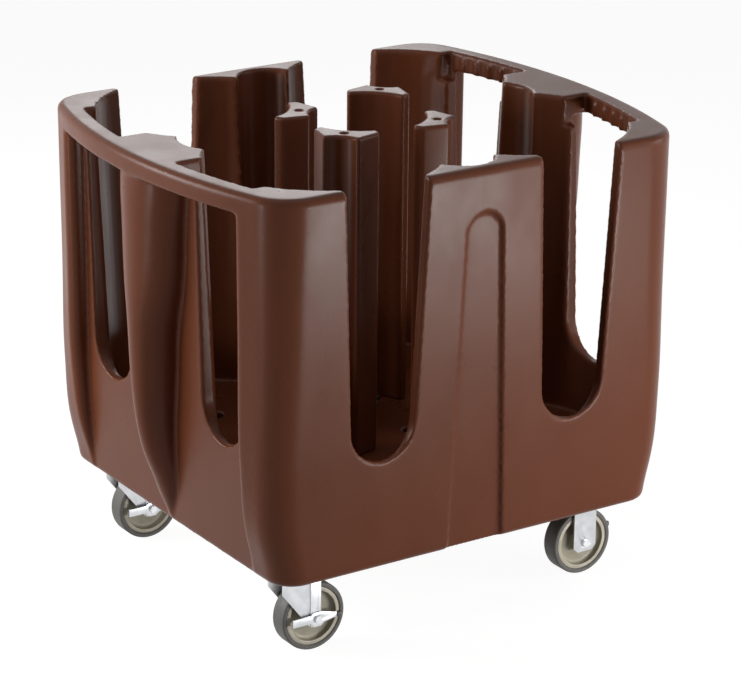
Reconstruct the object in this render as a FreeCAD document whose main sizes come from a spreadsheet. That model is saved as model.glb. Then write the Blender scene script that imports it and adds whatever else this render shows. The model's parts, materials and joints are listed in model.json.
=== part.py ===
import FreeCAD, Part
import Sketcher
import math
import os

# Adjustable four-stack plate dispenser cart on castors.
# Frame: origin on the floor under the middle of the cart, X along the long side, front side at -Y, +Z up.
# Millimetres. The rest pose has the swivel castors trailing towards +X and the brakes off.

SIZES = {
    # moulded body
    "body_top": 860.0,
    "body_bottom": 160.0,
    "deck_height": 260.0,
    "half_length": 480.0,
    "half_length_foot": 404.0,
    "end_bow": 69.0,
    "half_depth": 400.0,
    "half_depth_foot": 384.0,
    "corner_radius": 80.0,
    "corner_radius_foot": 52.0,
    "top_edge_radius": 11.0,
    "foot_edge_radius": 12.0,
    # round plate bays
    "bay_inset_x": 279.0,
    "bay_inset_y": 210.0,
    "bay_radius_top": 206.0,
    "bay_radius_deck": 184.0,
    "drain_radius": 19.0,
    "centre_void_radius": 130.0,
    "front_valley_radius": 57.0,
    "front_valley_radius_deck": 44.0,
    "front_valley_wall": 25.0,
    "end_valley_radius": 82.0,
    "end_valley_wall": 114.0,
    # open-top slots of the front and back
    "side_slot_width": 166.0,
    "side_slot_foot_width": 130.0,
    "side_slot_bottom": 362.0,
    # closed-top slots of the ends, finger openings and rail
    "end_slot_shift": 5.5,
    "end_slot_width": 169.0,
    "end_slot_foot_width": 137.0,
    "end_slot_bottom": 373.0,
    "rail_height": 38.0,
    "rail_width": 40.0,
    "finger_width": 197.0,
    "finger_depth": 54.0,
    "grip_rib_radius": 7.0,
    "grip_rib_proud": 5.0,
    "grip_rib_pitch": 33.0,
    # recessed end panels and the keel between the end slots
    "recess_side_width": 112.0,
    "recess_depth": 72.0,
    "recess_depth_foot": 4.0,
    "recess_bend": 340.0,
    "recess_mouth_radius": 18.0,
    "mouth_overcut": 0.5,
    "keel_half_width": 86.0,
    "keel_proud": 70.0,
    "seat_depth": 6.0,
    # arched panel in the middle of the front and back
    "arch_top": 779.0,
    "arch_radius": 37.0,
    "arch_foot_half_width": 58.0,
    "arch_depth": 9.0,
    # adjustable towers
    "tower_width": 120.0,
    "tower_nose": 30.0,
    "tower_nose_half_width": 31.0,
    "tower_shoulder": 16.0,
    "tower_back": 36.0,
    "tower_back_half_width": 52.0,
    "tower_nose_hollow": 11.0,
    "tower_back_hollow": 14.0,
    "tower_edge_radius": 4.0,
    "tower_seat_gap": 0.3,
    "tower_reach_back_left": 112.0,
    "tower_reach_front_left": 130.0,
    "tower_reach_front_right": 142.0,
    "tower_reach_back_right": 180.0,
    "track_back_x": 201.0,
    "track_back_y": 190.0,
    "track_start": 88.0,
    "track_end": 218.0,
    "track_width": 20.0,
    "track_depth": 10.0,
    "track_clearance": 0.1,
    "slot_width": 12.0,
    "nut_track_width": 36.0,
    "nut_track_depth": 16.0,
    "rod_radius": 4.0,
    "rod_clearance": 0.3,
    "rod_head_radius": 6.5,
    "rod_head_height": 8.0,
    "rod_sink": 12.0,
    "rod_washer_radius": 14.0,
    "rod_washer_thick": 2.5,
    "rod_nut_flats": 13.0,
    "rod_nut_height": 6.5,
    # castors
    "wheel_radius": 63.5,
    "tread_width": 36.0,
    "rim_radius": 54.0,
    "rim_width": 32.0,
    "rim_thick": 7.0,
    "web_thick": 9.0,
    "boss_radius": 15.0,
    "boss_width": 44.4,
    "hub_bore_radius": 9.0,
    "sleeve_wall": 2.6,
    "running_gap": 0.05,
    "axle_radius": 4.0,
    "axle_fit": 0.06,
    "plate_thick": 3.5,
    "plate_length": 96.0,
    "plate_width": 68.0,
    "plate_corner": 7.0,
    "bolt_pitch_x": 75.0,
    "bolt_pitch_y": 45.0,
    "bolt_radius": 4.0,
    "bolt_hole_radius": 4.5,
    "bolt_length": 32.0,
    "bolt_head_flats": 13.0,
    "bolt_head_height": 5.3,
    "swivel_lead": 35.0,
    "swivel_inset_x": 76.0,
    "swivel_inset_y": 90.0,
    "rigid_inset_x": 98.0,
    "rigid_inset_y": 103.0,
    "fork_inner": 45.0,
    "fork_thick": 3.0,
    "crown_thick": 4.0,
    "crown_top": 146.0,
    "crown_radius": 33.0,
    "fork_side_drop": 25.0,
    "fork_bend_back": 35.0,
    "fork_bend_rise": 14.0,
    "fork_toe_back": 15.0,
    "fork_toe_drop": 12.0,
    "leg_edge": 9.0,
    "leg_end_radius": 15.0,
    "rigid_leg_width": 50.0,
    "rigid_leg_drop": 17.0,
    "rigid_leg_chamfer": 9.0,
    "race_radius": 33.0,
    "race_lip": 2.5,
    "ball_radius": 3.4,
    "ball_ring_radius": 24.0,
    "ball_touch": 0.03,
    "kingpin_radius": 6.0,
    "kingpin_head_radius": 10.0,
    "kingpin_nut_flats": 19.0,
    "kingpin_nut_height": 7.0,
    "axle_head_flats": 13.0,
    "axle_head_height": 5.3,
    "axle_nut_height": 7.0,
    "brake_strip_width": 21.0,
    "brake_strip_thick": 2.0,
    "lever_thick": 3.0,
    "lever_gap": 0.3,
    "lever_wing_back": 50.0,
    "lever_wing_front": 47.0,
    "lever_hub_radius": 15.0,
    "pedal_reach": 92.0,
    "seat_gap": 0.3,
}
# height, half-length and bow of each level of the hull, as shares of their whole range
HULL_STATIONS = ((0.0, 0.0, 0.03), (0.06, 0.13, 0.08), (0.13, 0.35, 0.18), (0.23, 0.63, 0.46), (0.34, 0.86, 0.75),
                 (0.49, 0.97, 0.93), (0.63, 1.0, 1.0), (0.83, 1.0, 1.0), (1.0, 1.0, 1.0))
# height, half-width and proudness of each level of the end keels, as shares of their whole range
KEEL_STATIONS = ((0.015, 0.06, 0.05), (0.04, 0.14, 0.11), (0.07, 0.24, 0.22), (0.13, 0.33, 0.40), (0.20, 0.38, 0.63),
                 (0.31, 0.42, 0.84), (0.42, 0.49, 0.94), (0.57, 0.58, 0.99), (0.64, 0.70, 1.0), (0.73, 0.85, 1.0),
                 (0.89, 0.95, 1.0), (1.0, 1.0, 0.97))
BALLS_PER_RACE = 10
RIBS_PER_GRIP = 5
# both swivel castors are alike and carry their lever on the side that faces the front in the rest pose
LEVER_SIDE = -1
OVERSHOOT = 5.0
MIRRORS = ((-1, -1), (1, -1), (1, 1), (-1, 1))

doc = FreeCAD.newDocument("plate_dispenser_cart")


# ---- the sheet of driving dimensions, and arithmetic on its cells ----

class Size:
    """A length held both as a number and as the text of an expression on the sheet."""

    def __init__(self, number, text):
        self.number = float(number)
        self.text = text

    def join(self, other, sign, result):
        return Size(result, "(" + self.text + " " + sign + " " + size_of(other).text + ")")

    def __add__(self, other):
        return self.join(other, "+", self.number + size_of(other).number)

    def __radd__(self, other):
        return size_of(other) + self

    def __sub__(self, other):
        return self.join(other, "-", self.number - size_of(other).number)

    def __rsub__(self, other):
        return size_of(other) - self

    def __mul__(self, other):
        return self.join(other, "*", self.number * size_of(other).number)

    def __rmul__(self, other):
        return size_of(other) * self

    def __truediv__(self, other):
        return self.join(other, "/", self.number / size_of(other).number)

    def __neg__(self):
        return Size(-self.number, "(-1 * " + self.text + ")")


def size_of(value):
    """Plain numbers become sizes with their own digits as text."""
    if isinstance(value, Size):
        return value
    return Size(value, "(" + repr(float(value)) + ")")


def root(value):
    return Size(math.sqrt(value.number), "sqrt(" + value.text + ")")


def lesser(first, second):
    return Size(min(first.number, second.number), "min(" + first.text + "; " + second.text + ")")


class Sheet:
    """The spreadsheet's cells by alias."""


sheet = doc.addObject("Spreadsheet::Sheet", "Sizes")
dim = Sheet()
for row, (alias, value) in enumerate(SIZES.items(), start=1):
    sheet.set("A%d" % row, alias.replace("_", " "))
    sheet.set("B%d" % row, repr(value))
    sheet.setAlias("B%d" % row, alias)
    setattr(dim, alias, Size(value, "Sizes." + alias))
doc.recompute()


# ---- small drawing helpers ----

TURNS = {
    "XY": FreeCAD.Rotation(),
    "XZ": FreeCAD.Rotation(FreeCAD.Vector(1, 0, 0), 90),
    "YZ": FreeCAD.Rotation(0.5, 0.5, 0.5, 0.5),
}
PLANES = {"XY": "XY_Plane", "XZ": "XZ_Plane", "YZ": "YZ_Plane"}


def bind(thing, prop, value):
    """Ties one property to the sheet."""
    thing.setExpression(prop, size_of(value).text)


def put(thing, x=0.0, y=0.0, z=0.0):
    """Ties an object's place to the sheet."""
    for axis, value in (("x", x), ("y", y), ("z", z)):
        bind(thing, "Placement.Base." + axis, value)


def arc_between(start, end, radius):
    """The shorter arc from start to end; a positive radius runs counter-clockwise."""
    half = (end - start) * 0.5
    rise = math.sqrt(max(radius * radius - half.Length ** 2, 0.0))
    side = FreeCAD.Vector(-half.y, half.x, 0).normalize()
    centre = start + half + side * (rise if radius > 0 else -rise)
    first, last = (start, end) if radius > 0 else (end, start)
    angle = math.atan2(first.y - centre.y, first.x - centre.x)
    until = math.atan2(last.y - centre.y, last.x - centre.x)
    circle = Part.Circle(centre, FreeCAD.Vector(0, 0, 1), abs(radius))
    return Part.ArcOfCircle(circle, angle, until)


def draw_outline(sketch, corners):
    """Draws a closed outline; a corner's third value makes its next side an arc of that radius.

    An arc spans less than half a turn, so a half round end is drawn as two quarters.
    """
    points = [FreeCAD.Vector(size_of(c[0]).number, size_of(c[1]).number, 0) for c in corners]
    count = len(corners)
    first = sketch.GeometryCount
    ends = []
    for index, corner in enumerate(corners):
        start, end = points[index], points[(index + 1) % count]
        if len(corner) == 3:
            radius = size_of(corner[2])
            side = sketch.addGeometry(arc_between(start, end, radius.number), False)
            rule = sketch.addConstraint(Sketcher.Constraint("Radius", side, abs(radius.number)))
            bind(sketch, "Constraints[%d]" % rule, radius if radius.number > 0 else -radius)
            ends.append((1, 2) if radius.number > 0 else (2, 1))
        else:
            side = sketch.addGeometry(Part.LineSegment(start, end), False)
            ends.append((1, 2))
    for index, corner in enumerate(corners):
        side, before = first + index, first + (index - 1) % count
        start = ends[index][0]
        sketch.addConstraint(Sketcher.Constraint("Coincident", before, ends[(index - 1) % count][1], side, start))
        for kind, value in (("DistanceX", corner[0]), ("DistanceY", corner[1])):
            value = size_of(value)
            rule = sketch.addConstraint(Sketcher.Constraint(kind, -1, 1, side, start, value.number))
            bind(sketch, "Constraints[%d]" % rule, value)


def draw_circle(sketch, x, y, radius):
    """Draws a circle tied to the sheet."""
    x, y, radius = size_of(x), size_of(y), size_of(radius)
    centre = FreeCAD.Vector(x.number, y.number, 0)
    ring = sketch.addGeometry(Part.Circle(centre, FreeCAD.Vector(0, 0, 1), radius.number), False)
    rule = sketch.addConstraint(Sketcher.Constraint("Radius", ring, radius.number))
    bind(sketch, "Constraints[%d]" % rule, radius)
    for kind, value in (("DistanceX", x), ("DistanceY", y)):
        rule = sketch.addConstraint(Sketcher.Constraint(kind, -1, 1, ring, 3, value.number))
        bind(sketch, "Constraints[%d]" % rule, value)


def prism(name, plane, corners, forward, backward):
    """A closed outline on a plane through the origin, extruded both ways along the plane's normal."""
    sketch = doc.addObject("Sketcher::SketchObject", name + "_outline")
    sketch.Placement = FreeCAD.Placement(FreeCAD.Vector(), TURNS[plane])
    draw_outline(sketch, corners)
    solid = doc.addObject("Part::Extrusion", name)
    solid.Base = sketch
    solid.DirMode = "Normal"
    solid.Solid = True
    bind(solid, "LengthFwd", forward)
    bind(solid, "LengthRev", backward)
    return solid


def box(name, length, width, height, x=0.0, y=0.0, z=0.0):
    """A box centred on x and y with its foot at z."""
    solid = doc.addObject("Part::Box", name)
    length, width = size_of(length), size_of(width)
    bind(solid, "Length", length)
    bind(solid, "Width", width)
    bind(solid, "Height", height)
    put(solid, size_of(x) - length / 2, size_of(y) - width / 2, z)
    return solid


def cylinder(name, radius, height, x=0.0, y=0.0, z=0.0):
    solid = doc.addObject("Part::Cylinder", name)
    bind(solid, "Radius", radius)
    bind(solid, "Height", height)
    put(solid, x, y, z)
    return solid


def fuse(name, shapes):
    solid = doc.addObject("Part::MultiFuse", name)
    solid.Shapes = shapes
    return solid


def common(name, shapes):
    solid = doc.addObject("Part::MultiCommon", name)
    solid.Shapes = shapes
    return solid


def cut(name, base, tool):
    solid = doc.addObject("Part::Cut", name)
    solid.Base = base
    solid.Tool = tool
    return solid


def turned_about_z(name, source, angle):
    """A linked copy of a tool, turned about the cart's middle."""
    copy = doc.addObject("App::Link", name)
    copy.LinkedObject = source
    copy.LinkTransform = False
    copy.Placement = FreeCAD.Placement(FreeCAD.Vector(), FreeCAD.Rotation(FreeCAD.Vector(0, 0, 1), angle))
    return copy


def body_of(name):
    body = doc.addObject("PartDesign::Body", name)
    body.Label = name
    return body


def sketch_on(body, plane, name):
    """A sketch on one of the body's own origin planes."""
    sketch = body.newObject("Sketcher::SketchObject", name)
    for feature in body.Origin.OriginFeatures:
        if feature.Role == PLANES[plane]:
            sketch.AttachmentSupport = (feature, [""])
    sketch.MapMode = "FlatFace"
    return sketch


def lift(sketch, height):
    """Moves a sketch along its plane's normal."""
    bind(sketch, "AttachmentOffset.Base.z", height)


def pad(body, sketch, length, name, both_ways=False, back=False):
    feature = body.newObject("PartDesign::Pad", name)
    feature.Profile = sketch
    feature.Midplane = both_ways
    feature.Reversed = back
    bind(feature, "Length", length)
    body.Tip = feature
    return feature


def pocket(body, sketch, length, name, both_ways=False, back=False):
    feature = body.newObject("PartDesign::Pocket", name)
    feature.Profile = sketch
    feature.Midplane = both_ways
    feature.Reversed = back
    bind(feature, "Length", length)
    body.Tip = feature
    return feature


def revolve(body, sketch, name, axis="H_Axis"):
    feature = body.newObject("PartDesign::Revolution", name)
    feature.Profile = sketch
    feature.ReferenceAxis = (sketch, [axis])
    feature.Angle = 360.0
    body.Tip = feature
    return feature


def hexagon(flats, x=0.0, y=0.0):
    """Corners of a hexagon by its size across flats, with two flats square to the second axis."""
    reach = size_of(flats) / math.sqrt(3)
    corners = []
    for step in range(6):
        angle = math.radians(60 * step)
        corners.append((size_of(x) + reach * round(math.cos(angle), 9), size_of(y) + reach * round(math.sin(angle), 9)))
    return corners


def rectangle(half_x, half_y, x=0.0, y=0.0):
    x, y = size_of(x), size_of(y)
    return [(x - half_x, y - half_y), (x + half_x, y - half_y), (x + half_x, y + half_y), (x - half_x, y + half_y)]


def finished(solid, name):
    """Names an object as one of the cart's pieces."""
    solid.Label = name
    pieces.append(solid)
    return solid


pieces = []


# ---- moulded body ----

top = dim.body_top
foot = dim.body_bottom
half_x = dim.half_length - dim.bay_inset_x
half_y = dim.half_depth - dim.bay_inset_y
tracks_x = half_x - dim.track_back_x
tracks_y = half_y - dim.track_back_y
above = top + OVERSHOOT
bow_radius = (dim.half_depth * dim.half_depth + dim.end_bow * dim.end_bow) / (2 * dim.end_bow)


def bow_reach(inset, y):
    """How far out the bowed end stands at y, inset from its outer face."""
    return dim.half_length - bow_radius + root((bow_radius - inset) * (bow_radius - inset) - size_of(y) * y)


def round_edges(name, base, radius, chosen):
    """Rounds the edges of a solid that a test picks by their bounds."""
    doc.recompute()
    edges = [(index, radius.number, radius.number)
             for index, edge in enumerate(base.Shape.Edges, start=1) if chosen(edge.BoundBox)]
    rounded = doc.addObject("Part::Fillet", name)
    rounded.Base = base
    rounded.Edges = edges
    return rounded


def hull_level(rise, length_share, bow_share):
    """Half-depth and corner radius of the hull at one level, and the centre and radius of its bowed end."""
    length = dim.half_length_foot + (dim.half_length - dim.half_length_foot) * length_share
    depth = dim.half_depth_foot + (dim.half_depth - dim.half_depth_foot) * rise
    corner = dim.corner_radius_foot + (dim.corner_radius - dim.corner_radius_foot) * rise
    bow = dim.end_bow * bow_share
    radius = (depth * depth + bow * bow) / (2 * bow)
    return depth, corner, length - radius, radius


def make_hull():
    """The outer block: bowed ends that straighten and curl in towards the foot, and a leaning front and back."""
    sections = []
    for number, level in enumerate(HULL_STATIONS):
        rise = level[0]
        depth, corner, middle, radius = hull_level(*level)
        round_y = depth - corner
        round_x = root((radius - corner) * (radius - corner) - round_y * round_y)
        stretch = radius / (radius - corner)
        turn_x, turn_y = middle + round_x * stretch, round_y * stretch
        round_x = middle + round_x
        section = doc.addObject("Sketcher::SketchObject", "hull_section_%d" % number)
        bind(section, "Placement.Base.z", foot + (top - foot) * rise)
        draw_outline(section, [
            (-round_x, -depth), (round_x, -depth, corner), (turn_x, -turn_y, radius), (turn_x, turn_y, corner),
            (round_x, depth), (-round_x, depth, corner), (-turn_x, turn_y, radius), (-turn_x, -turn_y, corner)])
        sections.append(section)
    block = doc.addObject("Part::Loft", "hull_block")
    block.Sections = sections
    block.Solid = True
    softer = round_edges("hull_top_edge", block, dim.top_edge_radius,
                         lambda bounds: bounds.ZMin > top.number - 0.01)
    return round_edges("hull", softer, dim.foot_edge_radius, lambda bounds: bounds.ZMax < foot.number + 0.01)


def make_bays():
    """The open inside: four round tapering bays and the free middle between them."""
    depth = top - dim.deck_height
    taper = (dim.bay_radius_top - dim.bay_radius_deck) / depth
    shapes = []
    for number, (side_x, side_y) in enumerate(MIRRORS):
        bay = doc.addObject("Part::Cone", "bay_%d" % number)
        bind(bay, "Radius1", dim.bay_radius_deck)
        bind(bay, "Radius2", dim.bay_radius_top + taper * OVERSHOOT)
        bind(bay, "Height", depth + OVERSHOOT)
        put(bay, half_x * side_x, half_y * side_y, dim.deck_height)
        shapes.append(bay)
        shapes.append(cylinder("drain_%d" % number, dim.drain_radius, dim.deck_height - foot + 2 * OVERSHOOT,
                               half_x * side_x, half_y * side_y, foot - OVERSHOOT))
    clear = depth + OVERSHOOT
    shapes.append(cylinder("middle_void", dim.centre_void_radius, clear, 0, 0, dim.deck_height))
    front_reach = dim.half_depth - dim.front_valley_wall - dim.front_valley_radius
    valley_taper = (dim.front_valley_radius - dim.front_valley_radius_deck) / depth
    end_reach = dim.half_length - dim.end_valley_wall - dim.end_valley_radius
    shapes.append(box("front_valley_run", 2 * dim.front_valley_radius, 2 * front_reach, clear, 0, 0, dim.deck_height))
    shapes.append(box("end_valley_run", 2 * end_reach, 2 * dim.end_valley_radius, clear, 0, 0, dim.deck_height))
    for side in (-1, 1):
        valley = doc.addObject("Part::Cone", "front_valley_%d" % (side + 1))
        bind(valley, "Radius1", dim.front_valley_radius_deck)
        bind(valley, "Radius2", dim.front_valley_radius + valley_taper * OVERSHOOT)
        bind(valley, "Height", clear)
        put(valley, 0, front_reach * side, dim.deck_height)
        shapes.append(valley)
        shapes.append(cylinder("end_valley_%d" % (side + 1), dim.end_valley_radius, clear,
                               end_reach * side, 0, dim.deck_height))
    return shapes


def make_side_slots():
    """Open-top slots that run through the front and the back."""
    shapes = []
    half_top = dim.side_slot_width / 2
    half_foot = dim.side_slot_foot_width / 2
    turn = dim.side_slot_bottom + half_foot
    for side in (-1, 1):
        middle = half_x * side
        shapes.append(prism("side_slot_%d" % (side + 1), "XZ", [
            (middle - half_foot, turn, half_foot), (middle, turn - half_foot, half_foot),
            (middle + half_foot, turn), (middle + half_top, above), (middle - half_top, above)],
            dim.half_depth + OVERSHOOT, dim.half_depth + OVERSHOOT))
    return shapes


def make_end_slots():
    """Slots through both ends below the rails, and the finger openings inside the bowed rails."""
    half_top = dim.end_slot_width / 2
    half_foot = dim.end_slot_foot_width / 2
    half_finger = dim.finger_width / 2
    turn = dim.end_slot_bottom + half_foot
    under_rail = top - dim.rail_height
    reach = dim.half_length + OVERSHOOT
    slots = []
    openings = []
    for side in (-1, 1):
        middle = (half_y + dim.end_slot_shift) * side
        slots.append(prism("end_slot_%d" % (side + 1), "YZ", [
            (middle - half_foot, turn, half_foot), (middle, turn - half_foot, half_foot),
            (middle + half_foot, turn), (middle + half_top, under_rail), (middle - half_top, under_rail)],
            reach, reach))
        openings.append(prism("finger_opening_%d" % (side + 1), "YZ", [
            (middle - half_finger, top - dim.finger_depth), (middle + half_finger, top - dim.finger_depth),
            (middle + half_finger, above), (middle - half_finger, above)], dim.half_length, dim.half_length))
    inner = bow_reach(dim.rail_width, dim.half_depth)
    bow = bow_radius - dim.rail_width
    within_rail = prism("within_rail", "XY", [
        (-inner, -dim.half_depth), (inner, -dim.half_depth, bow),
        (inner, dim.half_depth), (-inner, dim.half_depth, bow)], above, -foot)
    fingers = common("finger_openings", [fuse("finger_passages", openings), within_rail])
    return slots + [fingers]


def recess_floor(height):
    """How far out the recessed panel stands: it leans out towards the foot and is upright above its bend."""
    deep = dim.half_length - dim.recess_depth
    shallow = dim.half_length_foot - dim.recess_depth_foot
    if height.number < dim.recess_bend.number:
        return shallow + (deep - shallow) * ((height - foot) / (dim.recess_bend - foot))
    return deep


def make_end_recesses():
    """Recessed end panels below the rails, whose upright side walls roll over into the hull."""
    outside = dim.half_length + OVERSHOOT
    wide = dim.half_depth - dim.recess_side_width
    lowest = size_of(-OVERSHOOT) / (top - foot)
    second = HULL_STATIONS[1]
    foot_level = (lowest, lowest * (second[1] / second[0]),
                  HULL_STATIONS[0][2] + lowest * ((second[2] - HULL_STATIONS[0][2]) / second[0]))
    rail_level = ((top - dim.rail_height - foot) / (top - foot), 1.0, 1.0)
    levels = [foot_level] + list(HULL_STATIONS[1:-1]) + [rail_level]
    recesses = []
    for side in (-1, 1):
        rings = []
        for number, level in enumerate(levels):
            height = foot + (top - foot) * level[0]
            depth, corner, middle, radius = hull_level(*level)
            floor = recess_floor(height)
            mouth = middle + root(radius * radius - wide * wide)
            roll = lesser(dim.recess_mouth_radius, (mouth - floor) * 0.6)
            reach = radius + dim.mouth_overcut
            wall_end = root((reach - roll) * (reach - roll) - (wide + roll) * (wide + roll))
            stretch = reach / (reach - roll)
            wall_x = (middle + wall_end) * side
            lip_x, lip_y = (middle + wall_end * stretch) * side, (wide + roll) * stretch * side
            end, wall = outside * side, wide * side
            sketch = doc.addObject("Sketcher::SketchObject", "recess_%d_%d" % (side + 1, number))
            bind(sketch, "Placement.Base.z", height)
            draw_outline(sketch, [
                (floor * side, -wall), (wall_x, -wall, -roll), (lip_x, -lip_y), (end, -lip_y),
                (end, lip_y), (lip_x, lip_y, -roll), (wall_x, wall), (floor * side, wall)])
            rings.append(sketch)
        recess = doc.addObject("Part::Loft", "recess_%d" % (side + 1))
        recess.Sections = rings
        recess.Solid = True
        recesses.append(recess)
    return recesses


def make_keels():
    """A rounded ridge between the slots of each end, which narrows to a point at the foot."""
    under_rail = top - dim.rail_height
    keels = []
    for side in (-1, 1):
        rings = []
        for number, (rise, width_share, proud_share) in enumerate(KEEL_STATIONS):
            height = foot + (under_rail - foot) * rise
            floor = recess_floor(height)
            base = floor - dim.seat_depth
            half = dim.keel_half_width * width_share
            proud = dim.keel_proud * proud_share
            crest_half = half * 0.67
            crest_rise = proud * 0.258
            shoulder = floor + proud - crest_rise
            crest = (crest_half * crest_half + crest_rise * crest_rise) / (2 * crest_rise)
            flank_x, flank_y = shoulder - floor, half - crest_half
            flank = root(flank_x * flank_x + flank_y * flank_y) * 1.25
            sketch = doc.addObject("Sketcher::SketchObject", "keel_%d_%d" % (side + 1, number))
            bind(sketch, "Placement.Base.z", height)
            draw_outline(sketch, [
                (base * side, -half * side), (floor * side, -half * side, flank),
                (shoulder * side, -crest_half * side, crest), (shoulder * side, crest_half * side, flank),
                (floor * side, half * side), (base * side, half * side)])
            rings.append(sketch)
        keel = doc.addObject("Part::Loft", "keel_%d" % (side + 1))
        keel.Sections = rings
        keel.Solid = True
        keels.append(keel)
    return keels


def make_grip_ribs():
    """Upright finger ribs on the inner side of each rail, over the openings."""
    shapes = []
    middle = half_y + dim.end_slot_shift
    for side_x, side_y in MIRRORS:
        for number in range(RIBS_PER_GRIP):
            along = middle + dim.grip_rib_pitch * (number - (RIBS_PER_GRIP - 1) / 2)
            inner = bow_reach(dim.rail_width, along)
            place = inner - dim.grip_rib_proud + dim.grip_rib_radius
            shapes.append(cylinder("grip_rib", dim.grip_rib_radius, dim.rail_height - dim.top_edge_radius,
                                   place * side_x, along * side_y, top - dim.rail_height))
    return shapes


def make_arch_panels():
    """The shallow arched panel on the front and the back."""
    lean = (dim.half_depth - dim.half_depth_foot) / (top - foot)
    spring = dim.arch_top - dim.arch_radius
    outline = prism("arch_outline", "XZ", [
        (-dim.arch_foot_half_width, foot - OVERSHOOT), (dim.arch_foot_half_width, foot - OVERSHOOT),
        (dim.arch_radius, spring, dim.arch_radius), (0, dim.arch_top, dim.arch_radius), (-dim.arch_radius, spring)],
        dim.half_depth + OVERSHOOT, dim.half_depth + OVERSHOOT)
    shells = []
    for side in (-1, 1):
        near = (dim.half_depth_foot - lean * OVERSHOOT - dim.arch_depth) * side
        far = (dim.half_depth - dim.arch_depth) * side
        outside = (dim.half_depth + OVERSHOOT) * side
        shells.append(prism("arch_depth_%d" % (side + 1), "YZ", [
            (near, foot - OVERSHOOT), (outside, foot - OVERSHOOT), (outside, top), (far, top)],
            dim.arch_foot_half_width, dim.arch_foot_half_width))
    return common("arch_panels", [outline, fuse("arch_shells", shells)])


def make_tracks():
    """Diagonal grooves and slots in the deck, in which the towers are moved and bolted."""
    length = dim.track_end - dim.track_start
    middle = (dim.track_end + dim.track_start) / 2
    groove = box("track_groove", length, dim.track_width, dim.track_depth + OVERSHOOT, middle, 0,
                 dim.deck_height - dim.track_depth)
    slit = box("track_slit", length, dim.slot_width, dim.deck_height - foot + OVERSHOOT, middle, 0, foot - OVERSHOOT)
    nut_run = box("nut_track", length + dim.nut_track_width, dim.nut_track_width, dim.nut_track_depth + OVERSHOOT,
                  middle, 0, foot - OVERSHOOT)
    track = fuse("track", [groove, slit, nut_run])
    diagonals = []
    for angle, side_x, side_y in ((45, 1, 1), (135, -1, 1), (225, -1, -1), (315, 1, -1)):
        diagonal = turned_about_z("track_%d" % angle, track, angle)
        put(diagonal, tracks_x * side_x, tracks_y * side_y)
        diagonals.append(diagonal)
    return diagonals


def castor_places():
    """Name, mirror and plate centre of the four castors."""
    places = []
    for side_x, side_y in MIRRORS:
        name = ("front" if side_y < 0 else "back") + ("_left" if side_x < 0 else "_right")
        inset_x, inset_y = dim.rigid_inset_x, dim.rigid_inset_y
        if side_x < 0:
            inset_x, inset_y = dim.swivel_inset_x, dim.swivel_inset_y
        places.append((name, side_x, side_y, (dim.half_length_foot - inset_x) * side_x,
                       (dim.half_depth_foot - inset_y) * side_y))
    return places


def make_body_shell():
    hull = make_hull()
    hollow = cut("hull_less_recesses", hull, fuse("recesses", make_end_recesses()))
    outside = fuse("outside", [hollow] + make_keels())
    tools = fuse("hollows", make_bays() + make_side_slots() + make_end_slots() + [make_arch_panels()] + make_tracks())
    opened = cut("opened", outside, tools)
    joined = fuse("joined", [opened] + make_grip_ribs())
    holes = []
    for name, side_x, side_y, x, y in castor_places():
        for step_x, step_y in MIRRORS:
            holes.append(cylinder("insert_hole", dim.bolt_radius + dim.seat_gap, dim.bolt_length,
                                  x + dim.bolt_pitch_x * (step_x / 2), y + dim.bolt_pitch_y * (step_y / 2),
                                  foot - OVERSHOOT))
        if side_x < 0:
            holes.append(cylinder("kingpin_relief", dim.kingpin_head_radius + 1.0, 2 * OVERSHOOT, x, y,
                                  foot - OVERSHOOT))
    shell = cut("body_shell", joined, fuse("insert_holes", holes))
    return finished(shell, "body_shell")


# ---- towers ----

def tower_outline():
    """Plan of a tower, nose towards +X: a hollow nose, two shoulders and a hollow back."""
    half = dim.tower_width / 2
    nose, nose_half = dim.tower_nose, dim.tower_nose_half_width
    back, back_half = dim.tower_back, dim.tower_back_half_width
    nose_arc = (nose_half * nose_half + dim.tower_nose_hollow * dim.tower_nose_hollow) / (2 * dim.tower_nose_hollow)
    back_arc = (back_half * back_half + dim.tower_back_hollow * dim.tower_back_hollow) / (2 * dim.tower_back_hollow)
    return [(nose, -nose_half, -nose_arc), (nose, nose_half), (-dim.tower_shoulder, half),
            (-back, back_half, -back_arc), (-back, -back_half), (-dim.tower_shoulder, -half)]


def place_tower(thing, place, angle, reversed_tower):
    """Puts a tower or one of its fasteners on its diagonal."""
    reach = place / math.sqrt(2)
    turn = math.radians(angle)
    side_x, side_y = round(math.copysign(1, math.cos(turn))), round(math.copysign(1, math.sin(turn)))
    put(thing, (reach + tracks_x) * side_x, (reach + tracks_y) * side_y)
    facing = angle + (180 if reversed_tower else 0)
    thing.Placement = FreeCAD.Placement(thing.Placement.Base, FreeCAD.Rotation(FreeCAD.Vector(0, 0, 1), facing))


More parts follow.
